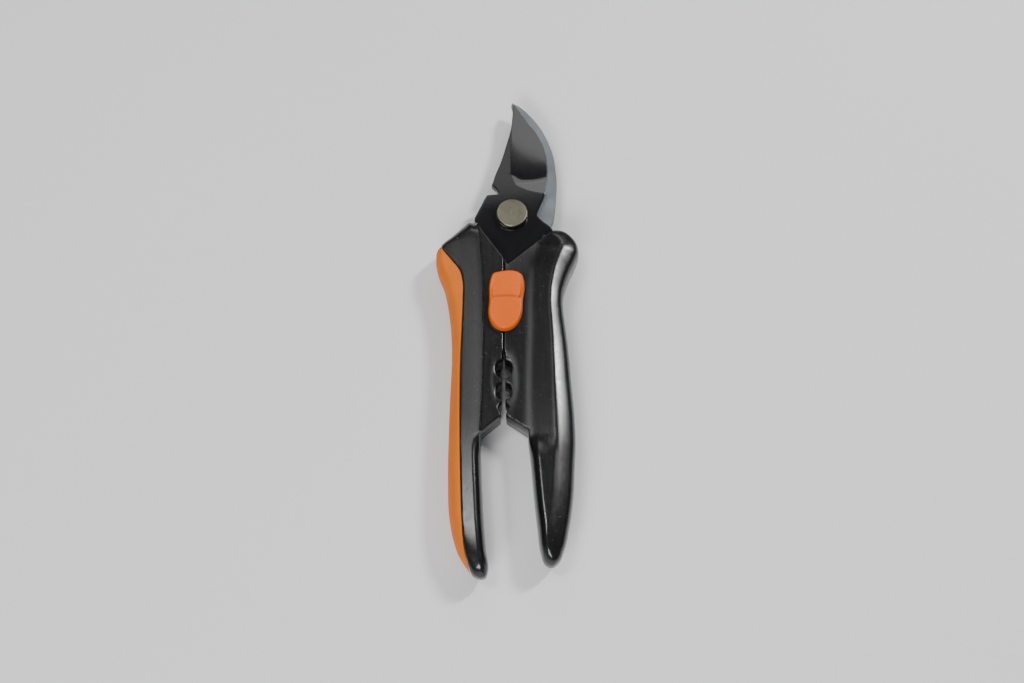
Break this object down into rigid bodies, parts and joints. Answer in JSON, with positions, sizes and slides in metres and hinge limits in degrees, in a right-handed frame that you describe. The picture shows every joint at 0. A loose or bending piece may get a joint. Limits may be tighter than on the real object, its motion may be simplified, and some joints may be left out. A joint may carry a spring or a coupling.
{
  "type": "floral snips",
  "caption": "Bypass floral snips with a black coated cutting blade, bare steel hook, black handles with a soft orange grip, stem notches and a sliding thumb lock.",
  "frame": {"origin": "centre of the bounding box in plan, on the plane the tool's back lies on", "axes": "+Y along the tool towards the blade tips, +X to the cutting blade's handle, +Z out of the front face"},
  "size_m": [0.0541, 0.1908, 0.017],
  "materials": {
    "black_plastic": "fine textured satin",
    "orange_grip": "soft matt",
    "orange_lock": "satin",
    "coated_steel": "glossy low-friction coating",
    "satin_steel": "satin",
    "bolt_steel": "turned",
    "pin_steel": "ground",
    "screw_steel": "plain",
    "spring_steel": "drawn wire",
    "latch_steel": "plain"
  },
  "bodies": {
    "hook_side": {"hook_blade": "satin_steel", "hook_handle_front": "black_plastic", "hook_handle_back": "black_plastic", "soft_grip": "orange_grip", "hook_tang_pin_1": "pin_steel", "hook_tang_pin_2": "pin_steel", "hook_screw_1": "screw_steel", "hook_screw_2": "screw_steel", "hook_screw_3": "screw_steel", "catch_pin": "pin_steel", "pivot_bolt": "bolt_steel", "pivot_washer": "pin_steel", "pivot_nut": "bolt_steel", "return_spring": "spring_steel"},
    "blade_side": {"cutting_blade": "coated_steel", "blade_handle_front": "black_plastic", "blade_handle_back": "black_plastic", "blade_tang_pin_1": "pin_steel", "blade_tang_pin_2": "pin_steel", "blade_screw_1": "screw_steel", "blade_screw_2": "screw_steel", "blade_screw_3": "screw_steel"},
    "lock_slider": {"lock_latch": "latch_steel", "lock_pad_front": "orange_lock", "lock_pad_back": "orange_lock"}
  },
  "joints": [
    {"name": "pivot_turn", "type": "hinge", "parent": "hook_side", "child": "blade_side", "pos_m": [0.00175, 0.04186, 0.0085], "axis": [0, 0, 1], "range_deg": [0, 22], "deforming": ["return_spring"]},
    {"name": "lock_slide", "type": "slide", "parent": "blade_side", "child": "lock_slider", "axis": [0, 1, 0], "range_m": [-0.0035, 0.0025]}
  ]
}
